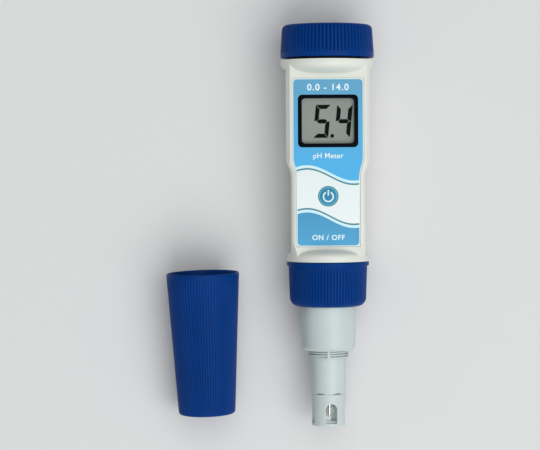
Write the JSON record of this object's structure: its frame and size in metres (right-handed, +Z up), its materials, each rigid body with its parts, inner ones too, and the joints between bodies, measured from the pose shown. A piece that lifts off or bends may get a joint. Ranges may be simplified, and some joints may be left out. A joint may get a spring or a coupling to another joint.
{
  "type": "digital pH meter",
  "caption": "Pen-shaped digital pH meter with screw battery cap, display, power button and screw-on pH electrode, beside its ribbed conical sensor cap.",
  "frame": {"origin": "bottom centre of the box round the pen and its loose sensor cap, on the table", "axes": "+Y along the table toward the battery cap, +X to the right seen from above the display, +Z up; the display faces up"},
  "size_m": [0.0896, 0.1724, 0.0401],
  "materials": {
    "housing_white": "satin",
    "label_blue": "glossy print",
    "bezel_black": "glossy",
    "clear_window": "clear plastic",
    "lcd_grey": "satin",
    "frame_white": "satin",
    "connector_rubber": "matt",
    "board_green": "satin",
    "steel": "satin",
    "chip_black": "matt",
    "capacitor_tan": "satin",
    "seal_rubber": "matt",
    "contact_brass": "polished",
    "blue_plastic": "satin",
    "electrode_grey": "satin",
    "bulb_glass": "clear",
    "junction_ceramic": "matt",
    "silver_wire": "satin",
    "button_blue": "satin",
    "liner_navy": "satin",
    "sponge_white": "porous"
  },
  "bodies": {
    "housing": {"front_shell": "housing_white", "rear_shell": "housing_white", "front_label": "label_blue", "display_bezel": "bezel_black", "display_window": "clear_window", "lcd_glass": "lcd_grey", "lcd_frame": "frame_white", "lcd_connectors": "connector_rubber", "circuit_board": "board_green", "board_screws": "steel", "controller_chip": "chip_black", "amplifier_chip": "chip_black", "board_crystal": "steel", "board_capacitors": "capacitor_tan", "switch_body": "chip_black", "battery_holder": "chip_black", "cell_1": "steel", "cell_2": "steel", "cell_3": "steel", "cell_4": "steel", "battery_spring": "steel", "battery_terminal": "steel", "battery_strip": "steel", "battery_seal": "seal_rubber", "electrode_socket": "chip_black"},
    "contact_plate": {"contact_plate": "contact_brass"},
    "battery_cap": {"battery_cap": "blue_plastic"},
    "electrode": {"electrode_body": "electrode_grey", "electrode_guard": "electrode_grey", "glass_bulb": "bulb_glass", "junction_plug": "junction_ceramic", "temperature_pin": "steel", "reference_wire": "silver_wire", "inner_wire": "silver_wire", "electrode_pins": "contact_brass", "electrode_seal": "seal_rubber"},
    "electrode_collar": {"electrode_collar": "blue_plastic"},
    "power_button": {"power_button": "button_blue"},
    "switch_plunger": {"switch_plunger": "chip_black"},
    "sensor_cap": {"sensor_cap": "blue_plastic", "cap_liner": "liner_navy", "cap_sponge": "sponge_white"}
  },
  "joints": [
    {"name": "battery_cap_lift", "type": "slide", "parent": "housing", "child": "contact_plate", "axis": [0, 0.9996, 0.0271], "range_m": [0, 0.00625]},
    {"name": "battery_cap_turn", "type": "hinge", "parent": "contact_plate", "child": "battery_cap", "pos_m": [0.02479, 0.07462, 0.02013], "axis": [0, 0.9996, 0.0271], "range_deg": [0, 900]},
    {"name": "electrode_slide", "type": "slide", "parent": "housing", "child": "electrode", "axis": [0, -0.9996, -0.0271], "range_m": [0, 0.0055]},
    {"name": "collar_turn", "type": "hinge", "parent": "electrode", "child": "electrode_collar", "pos_m": [0.02479, -0.02534, 0.01742], "axis": [0, -0.9996, -0.0271], "range_deg": [0, 792]},
    {"name": "power_button_press", "type": "slide", "parent": "housing", "child": "power_button", "axis": [0, 0.0271, -0.9996], "range_m": [0, 0.0004], "stiffness_N_per_m": 1500},
    {"name": "switch_plunger_press", "type": "slide", "parent": "housing", "child": "switch_plunger", "axis": [0, 0.0271, -0.9996], "range_m": [0, 0.0004]},
    {"name": "sensor_cap_slide", "type": "slide", "parent": "housing", "child": "sensor_cap", "axis": [0.399, -0.9169, 0], "range_m": [0, 0.13506]}
  ],
  "couplings": [
    {"joint": "battery_cap_lift", "follows": "battery_cap_turn", "m_per_rad": 0.00039789},
    {"joint": "electrode_slide", "follows": "collar_turn", "m_per_rad": 0.00039789},
    {"joint": "switch_plunger_press", "follows": "power_button_press", "ratio": 1}
  ]
}
